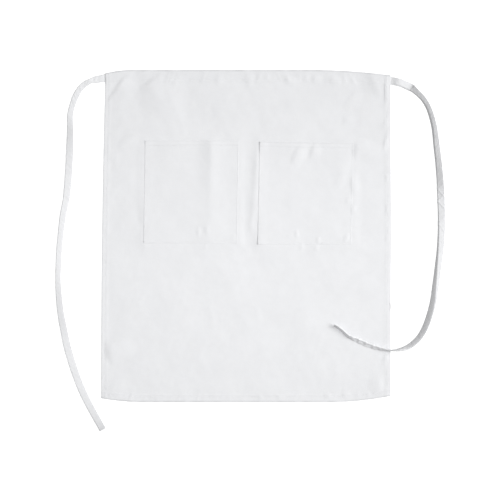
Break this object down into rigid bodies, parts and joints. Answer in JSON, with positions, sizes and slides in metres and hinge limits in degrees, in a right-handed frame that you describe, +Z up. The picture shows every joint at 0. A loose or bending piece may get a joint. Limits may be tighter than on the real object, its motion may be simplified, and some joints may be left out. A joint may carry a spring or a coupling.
{
  "type": "bistro apron",
  "caption": "White waist apron of hemmed cloth with open patch pockets and loose cloth ties at the waist, laid flat.",
  "frame": {"origin": "on the surface that the apron lies on, under the middle of the panel", "axes": "+X to the right of the apron as seen from above, +Y up the apron to its waist, +Z up from the surface"},
  "size_m": [0.9643, 0.8949, 0.0147],
  "materials": {
    "twill": "matte white twill",
    "tie_cloth": "matte white twill, folded lengthwise and stitched"
  },
  "bodies": {
    "root": {"panel": "twill", "pocket_left": "twill", "pocket_right": "twill", "tie_left": "tie_cloth", "tie_right": "tie_cloth"}
  },
  "joints": []
}
